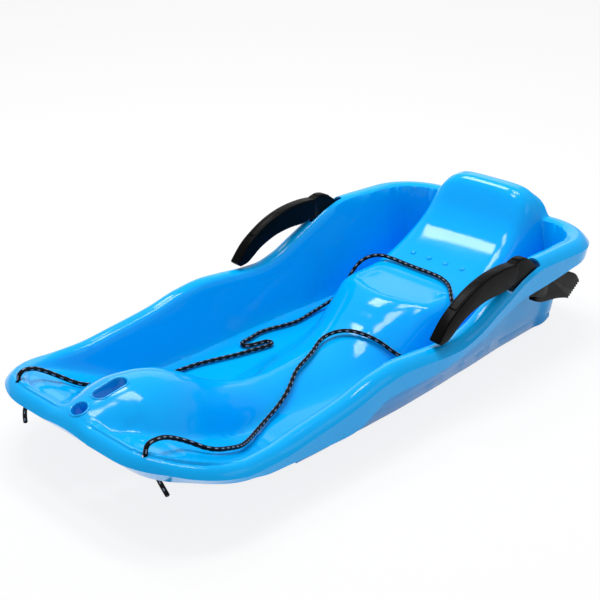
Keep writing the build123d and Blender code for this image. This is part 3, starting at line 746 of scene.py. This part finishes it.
def tube_along(name, points, radius, material, sides=12, closed=False):
    """A round tube along points, with a UV map in metres along and turns around."""
    count = len(points)
    if closed:
        along = np.roll(points, -1, axis=0) - np.roll(points, 1, axis=0)
    else:
        along = np.gradient(points, axis=0)
    along /= np.linalg.norm(along, axis=1)[:, None]
    side = np.cross(along[0], (0.0, 0.0, 1.0))
    if np.linalg.norm(side) < 0.2:
        side = np.cross(along[0], (0.0, 1.0, 0.0))
    frames = []
    for direction in along:
        side = side - direction * np.dot(side, direction)
        side = side / np.linalg.norm(side)
        frames.append((side, np.cross(direction, side)))
    length = np.concatenate([[0.0], np.cumsum(np.linalg.norm(np.diff(points, axis=0), axis=1))])
    # each ring's place on the line, its share of the radius, and its shift in radii
    rings = [(k, 1.0, 0.0) for k in range(count)]
    if not closed:
        rings = ([(0, 0.55, -0.35), (0, 0.86, -0.12)] + rings
                 + [(count - 1, 0.86, 0.12), (count - 1, 0.55, 0.35)])
    turns = np.arange(sides) / sides * 2 * math.pi
    vertices, lengths = [], []
    for k, scale, shift in rings:
        a, b = frames[k]
        centre = points[k] + along[k] * shift * radius
        vertices += [centre + radius * scale * (math.cos(turn) * a + math.sin(turn) * b)
                     for turn in turns]
        lengths.append(length[k] + shift * radius)
    faces, uvs = [], []
    last = len(rings) if closed else len(rings) - 1
    for k in range(last):
        after = (k + 1) % len(rings)
        u = (lengths[k], lengths[after] if after else lengths[k] + 0.001)
        for j in range(sides):
            right = (j + 1) % sides
            faces.append((k * sides + j, k * sides + right, after * sides + right,
                          after * sides + j))
            uvs += [(u[0], j / sides), (u[0], (j + 1) / sides), (u[1], (j + 1) / sides),
                    (u[1], j / sides)]
    if not closed:
        faces.append(tuple(reversed(range(sides))))
        faces.append(tuple(range((len(rings) - 1) * sides, len(rings) * sides)))
        uvs += [(0.0, 0.0)] * (2 * sides)
    piece = mesh_object(name, vertices, faces, material)
    layer = piece.data.uv_layers.new(name="rope")
    layer.data.foreach_set("uv", np.array(uvs, np.float32).ravel())
    return piece


def knot_points(centre, size):
    """A closed overhand knot's centreline, pulled tight."""
    turns = np.linspace(0, 2 * math.pi, 97)[:-1]
    x = np.sin(turns) + 2 * np.sin(2 * turns)
    y = np.cos(turns) - 2 * np.cos(2 * turns)
    z = -np.sin(3 * turns) * 1.1
    return np.stack([x, y, z], axis=1) * size / 3 + np.array(centre)


class SLED_OT_rope(bpy.types.Operator):
    """Makes the braided tow rope and the knots under its two holes"""
    bl_idname = "sled.rope"
    bl_label = "Tow rope"

    def execute(self, context):
        sizes = context.scene.sled_rope
        material = braid(sizes.colour, sizes.pitch)
        points = rope_line(ROPE_ROUTE)
        rope = tube_along("braided_tow_rope", points, sizes.diameter / 2, material)
        for name in ("left", "right"):
            low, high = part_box("rope_knot_" + name)
            centre = (low + high) / 2
            knot = tube_along("tow_knot_" + name, knot_points(centre, 0.0052),
                              sizes.diameter * 0.46, material, closed=True)
            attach(knot, "sled")
            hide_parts("rope_knot_" + name)
        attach(rope, "sled")
        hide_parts("tow_rope")
        return {"FINISHED"}


class SLED_OT_hull(bpy.types.Operator):
    """Makes the moulded hull with its rim, seat, backrest, nose and openings"""
    bl_idname = "sled.hull"
    bl_label = "Hull"

    def execute(self, context):
        sizes = context.scene.sled_hull
        plastic = polyethylene(sizes.colour)
        vertices, faces = hull_sheet(sizes.step * 1000)
        hull = mesh_object("moulded_hull", vertices, faces, plastic)
        weld(hull)
        if hull.data.polygons[len(hull.data.polygons) // 3].normal.z < 0:
            hull.data.flip_normals()
        wall = hull.modifiers.new("wall", "SOLIDIFY")
        wall.thickness = sizes.wall
        wall.offset = -1.0
        wall.use_quality_normals = True
        outer = len(hull.data.vertices)
        apply_modifiers(hull)
        for vertex in hull.data.vertices[outer:]:
            # keeps the inner wall behind the outer one where the nose edge folds
            vertex.co.x = min(vertex.co.x, NOSE_X / 1000 - sizes.wall * 0.85)
        for side in (-1, 1):
            combine(hull, runner_strip("runner", side, sizes.wall * 1000), "UNION")

        beads = []
        lip, wall = OPENING_LIP / 1000, sizes.wall
        for x, length in ((EYE_X, OPENING_WIDTH), (SLOT_X, SLOT_LENGTH)):
            place = tilted(x / 1000)
            # the opening's outline, then the collar's, then the rounded edge's
            inside, around, edge = [
                slot_outline(0.0, 0.0, length / 1000 + 2 * grow,
                             OPENING_WIDTH / 1000 + 2 * grow, OPENING_WIDTH / 2000 + grow)
                for grow in (0.0, wall, 0.0012)]
            collar = standing(prism("collar", around, -lip, -wall * 0.9), place)
            combine(hull, collar, "UNION")
            combine(hull, standing(prism("bore", inside, -lip - 0.001, lip), place),
                    "DIFFERENCE")
            edge = [place @ Vector((px, py, 0.0)) for px, py in edge]
            ring = [(p.x, p.y, height_at(p.x, p.y) - 0.0004) for p in edge]
            beads.append(sweep_ring("bead", ring, 0.0017, plastic))
        for side in (-1, 1):
            x, y, across = ROPE_HOLE_X / 1000, side * ROPE_HOLE_Y / 1000, ROPE_HOLE_D / 1000
            hole = slot_outline(x, y, across, across, across / 2)
            middle = height_at(x, y)
            combine(hull, prism("cutter", hole, middle - 0.014, middle + 0.014),
                    "DIFFERENCE")
            ring = [(px, py, height_at(px, py) - wall / 2) for px, py in hole]
            beads.append(sweep_ring("bead", ring, 0.0013, plastic))
        for side in (-1, 1):
            slot = slot_outline((BRAKE_SLOT_TAIL_X + BRAKE_SLOT_NOSE_X) / 2000,
                                side * LEVER_Y / 1000,
                                (BRAKE_SLOT_NOSE_X - BRAKE_SLOT_TAIL_X) / 1000,
                                BRAKE_SLOT_WIDTH / 1000, 0.2 * BRAKE_SLOT_WIDTH / 1000)
            combine(hull, prism("cutter", slot, 0.132, 0.192), "DIFFERENCE")
        for k, bead in enumerate(beads):
            bead.name = "hole_bead_%d" % (k + 1)
            soften(bead, 60.0)
            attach(bead, "sled")
        soften(hull)
        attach(hull, "sled")
        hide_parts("hull")
        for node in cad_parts:
            if node.startswith("brake_pin"):
                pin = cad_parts[node]
                steel = bpy.data.materials.get("drawn_steel_pin") or pin_steel()
                for holder in pin.material_slots:
                    holder.material = steel
        return {"FINISHED"}


def nub_tree():
    """Repeats one small dome on the piece's points, turned to the slope there."""
    tree = bpy.data.node_groups.new("seat_nubs", "GeometryNodeTree")
    sockets = tree.interface
    sockets.new_socket("Geometry", in_out="OUTPUT", socket_type="NodeSocketGeometry")
    for name, kind in (("Geometry", "NodeSocketGeometry"), ("Tilt", "NodeSocketVector"),
                       ("Radius", "NodeSocketFloat"), ("Material", "NodeSocketMaterial")):
        sockets.new_socket(name, in_out="INPUT", socket_type=kind)
    inputs = add_node(tree, "NodeGroupInput")
    dome = add_node(tree, "GeometryNodeMeshIcoSphere", Radius=inputs.outputs["Radius"],
                    Subdivisions=4)
    copies = add_node(tree, "GeometryNodeInstanceOnPoints",
                      Points=inputs.outputs["Geometry"], Instance=dome.outputs["Mesh"],
                      Rotation=inputs.outputs["Tilt"], Scale=(1.0, 1.0, 0.5))
    real = add_node(tree, "GeometryNodeRealizeInstances", Geometry=copies.outputs[0])
    smooth = add_node(tree, "GeometryNodeSetShadeSmooth", Geometry=real.outputs[0])
    paint = add_node(tree, "GeometryNodeSetMaterial", Geometry=smooth.outputs[0],
                     Material=inputs.outputs["Material"])
    add_node(tree, "NodeGroupOutput", Geometry=paint.outputs[0])
    return tree


def repeat(piece, tree, **values):
    """Runs a Geometry Nodes tree on a piece and keeps its result as a plain mesh."""
    change = piece.modifiers.new("repeat", "NODES")
    change.node_group = tree
    for item in tree.interface.items_tree:
        if item.item_type == "SOCKET" and item.in_out == "INPUT" and item.name in values:
            change[item.identifier] = values[item.name]
    apply_modifiers(piece)


class SLED_OT_nubs(bpy.types.Operator):
    """Makes the row of small moulded nubs low on the backrest"""
    bl_idname = "sled.nubs"
    bl_label = "Nubs"

    def execute(self, context):
        sizes = context.scene.sled_hull
        plastic = bpy.data.materials["moulded_hdpe_gloss_blue"]
        x = NUB_X / 1000
        places = [(x, y, height_at(x, y))
                  for y in [(k - 1.5) * NUB_PITCH / 1000 for k in range(4)]]
        rise = (height_at(x + 0.003, 0.03) - height_at(x - 0.003, 0.03)) / 0.006
        nubs = mesh_object("seat_nubs", places, [])
        repeat(nubs, nub_tree(), Tilt=(0.0, -math.atan(rise), 0.0), Radius=sizes.nub,
               Material=plastic)
        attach(nubs, "sled")
        return {"FINISHED"}


def smooth_outline(points, closed=False, per_span=6):
    """A Catmull-Rom line through points of a side view."""
    points = np.array(points, float)
    before, after = (points[-1:], points[:2]) if closed else (points[:1], points[-1:])
    padded = np.concatenate([before, points, after])
    result = []
    for i in range(len(padded) - 3):
        p = padded[i:i + 4]
        for step in range(per_span):
            t = step / per_span
            result.append(0.5 * (2 * p[1] + (p[2] - p[0]) * t
                                 + (2 * p[0] - 5 * p[1] + 4 * p[2] - p[3]) * t * t
                                 + (3 * p[1] - p[0] - 3 * p[2] + p[3]) * t ** 3))
    if not closed:
        result.append(points[-1])
    return [tuple(p) for p in result]


def standing_plate(name, outline, width, y, bevel, segments=3):
    """A plate standing on its side view, in millimetres, with rounded edges."""
    plate = shell_between(name, *[
        [(x / 1000, (y + offset) / 1000, z / 1000) for x, z in outline]
        for offset in (width / 2, -width / 2)])
    if bevel:
        change = plate.modifiers.new("edge", "BEVEL")
        change.width = bevel / 1000
        change.segments = segments
        change.limit_method = "ANGLE"
        change.angle_limit = math.radians(50)
        change.use_clamp_overlap = True
        apply_modifiers(plate)
    return plate


def disc(radius, sides):
    """A round side view about the brake's pivot, in millimetres."""
    turns = [2 * math.pi * k / sides for k in range(sides)]
    return [(PIVOT[0] + radius * math.cos(turn), PIVOT[1] + radius * math.sin(turn))
            for turn in turns]


def claw_outline(teeth):
    """The claw's side view with rounded saw teeth along its end."""
    start, end = np.array(CLAW_FRONT[-1], float), np.array(CLAW_BACK[0], float)
    along = (end - start) / teeth
    out = np.array([along[1], -along[0]])
    out = out / np.linalg.norm(out) * TOOTH_DEPTH
    if out[0] > 0:
        out = -out
    points = smooth_outline(CLAW_FRONT, per_span=3)
    for k in range(teeth):
        a = start + along * k
        points += [tuple(a + along * 0.3 + out * 0.85), tuple(a + along * 0.5 + out),
                   tuple(a + along * 0.7 + out * 0.85), tuple(a + along)]
    return points[:-1] + smooth_outline(CLAW_BACK, per_span=3)


def strip_on(line, lift, sink, width, y, name):
    """A thin raised strip that follows a line of the side view."""
    line = np.array(line, float)
    along = np.gradient(line, axis=0)
    along /= np.linalg.norm(along, axis=1)[:, None]
    normal = np.stack([along[:, 1], -along[:, 0]], axis=1)
    if normal[len(normal) // 2, 1] < 0:
        normal = -normal
    outline = [tuple(p) for p in line + normal * lift]
    outline += [tuple(p) for p in (line - normal * sink)[::-1]]
    return standing_plate(name, outline, width, y, min(lift, 1.0) * 0.8, 2)


class SLED_OT_brakes(bpy.types.Operator):
    """Makes the two hand brakes with their grips, arms and toothed claws"""
    bl_idname = "sled.brakes"
    bl_label = "Hand brakes"

    def execute(self, context):
        sizes = context.scene.sled_brakes
        plastic = polypropylene(sizes.colour)
        width, claw_width = sizes.handle_width * 1000, sizes.claw_width * 1000
        handle = smooth_outline(HANDLE_TOP) + smooth_outline(HANDLE_UNDER)
        handle = [p for k, p in enumerate(handle) if math.dist(p, handle[k - 1]) > 0.05]
        grip_line = [p for p in smooth_outline(HANDLE_TOP, per_span=8) if -112 < p[0] < -50]
        rest_line = [p for p in smooth_outline(ARM[:4], per_span=8) if -226 < p[0] < -196]
        for name, side in (("left", 1), ("right", -1)):
            y = side * LEVER_Y
            grip = y + side * HANDLE_SET_OUT
            claw_y = y - side * CLAW_SET_IN
            lever = standing_plate("hand_brake_" + name, handle, width, grip, 3.6, 4)
            parts = [standing_plate("arm", smooth_outline(ARM, True, 4), LEVER_WIDTH, y, 1.5),
                     standing_plate("claw", claw_outline(sizes.teeth), claw_width, claw_y,
                                    0.9, 2),
                     standing_plate("hub", disc(HUB_R, 32), LEVER_WIDTH, y, 0.0),
                     strip_on(grip_line, 1.1, 2.5, width - 6.0, grip, "grip_pad"),
                     strip_on(rest_line, 1.0, 2.0, LEVER_WIDTH - 3.0, y, "rest_pad")]
            for part in parts:
                combine(lever, part, "UNION")
            bore = standing_plate("bore", disc(PIN_BORE_R, 24), LEVER_WIDTH + 6.0, y, 0.0)
            combine(lever, bore, "DIFFERENCE")
            lever.data.materials.clear()
            lever.data.materials.append(plastic)
            soften(lever, 35.0)
            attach(lever, "lever_" + name)
            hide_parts("brake_lever_" + name)
        return {"FINISHED"}


class SLED_PT_panel(bpy.types.Panel):
    """Lists the sled's pieces and their sizes"""
    bl_label = "Sled"
    bl_idname = "SLED_PT_panel"
    bl_space_type = "VIEW_3D"
    bl_region_type = "UI"
    bl_category = "Sled"

    def draw(self, context):
        groups = ((context.scene.sled_hull, ("wall", "step", "nub", "colour")),
                  (context.scene.sled_rope, ("diameter", "pitch", "colour")),
                  (context.scene.sled_brakes, ("handle_width", "claw_width", "teeth",
                                               "colour")))
        for settings, names in groups:
            box = self.layout.box()
            for name in names:
                box.prop(settings, name)
        for operator in PIECES:
            self.layout.operator(operator.bl_idname)


SETTINGS = ((SledHullSettings, "sled_hull"), (SledRopeSettings, "sled_rope"),
            (SledBrakeSettings, "sled_brakes"))
PIECES = (SLED_OT_studio, SLED_OT_rope, SLED_OT_hull, SLED_OT_nubs, SLED_OT_brakes)


def register():
    for settings, name in SETTINGS:
        bpy.utils.register_class(settings)
        setattr(bpy.types.Scene, name, bpy.props.PointerProperty(type=settings))
    for kind in PIECES + (SLED_PT_panel,):
        bpy.utils.register_class(kind)


def unregister():
    for kind in reversed(PIECES + (SLED_PT_panel,)):
        bpy.utils.unregister_class(kind)
    for settings, name in reversed(SETTINGS):
        delattr(bpy.types.Scene, name)
        bpy.utils.unregister_class(settings)


def main():
    register()
    bpy.ops.sled.studio()
    bpy.ops.sled.rope()
    bpy.ops.sled.hull()
    bpy.ops.sled.nubs()
    bpy.ops.sled.brakes()


if __name__ == "__main__":
    main()
